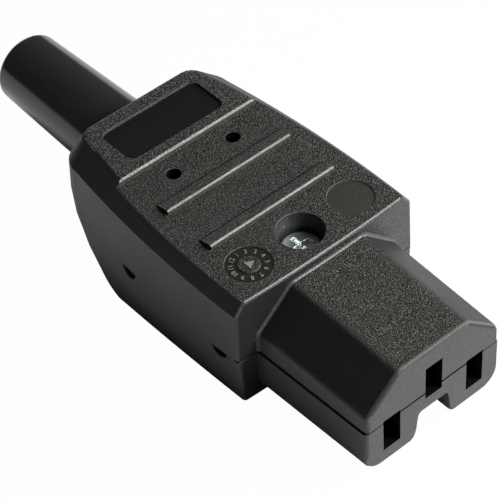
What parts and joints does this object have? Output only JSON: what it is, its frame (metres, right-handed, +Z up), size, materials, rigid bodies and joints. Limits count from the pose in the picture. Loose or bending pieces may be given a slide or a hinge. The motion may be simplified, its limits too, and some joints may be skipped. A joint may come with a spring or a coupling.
{
  "type": "rewireable appliance power connector",
  "caption": "Rewireable in-line power connector: keyed bevelled nose with pin slots, ribbed two-part moulded housing closed by a sunk screw, and a tapered bend relief sleeve.",
  "frame": {"origin": "on the ground under the middle of the part's box", "axes": "+Z up, +Y from the mating face towards the cable end of the sleeve, X across the two power pins"},
  "size_m": [0.0302, 0.0834, 0.0187],
  "materials": {
    "housing_plastic": "fine spark texture",
    "sleeve_rubber": "smooth satin",
    "clamp_plastic": "plain moulded",
    "plated_steel": "zinc plated",
    "contact_brass": "bright pressed",
    "spring_steel": "rolled"
  },
  "bodies": {
    "root": {"lower_housing": "housing_plastic", "upper_housing": "housing_plastic", "bend_relief_sleeve": "sleeve_rubber", "cover_screw": "plated_steel", "cover_nut": "plated_steel", "cable_clamp": "clamp_plastic", "clamp_screw_left": "plated_steel", "clamp_screw_right": "plated_steel", "line_contact": "contact_brass", "line_contact_spring": "spring_steel", "line_wire_plate": "plated_steel", "line_terminal_screw": "plated_steel", "neutral_contact": "contact_brass", "neutral_contact_spring": "spring_steel", "neutral_wire_plate": "plated_steel", "neutral_terminal_screw": "plated_steel", "earth_contact": "contact_brass", "earth_contact_spring": "spring_steel", "earth_wire_plate": "plated_steel", "earth_terminal_screw": "plated_steel"}
  },
  "joints": []
}
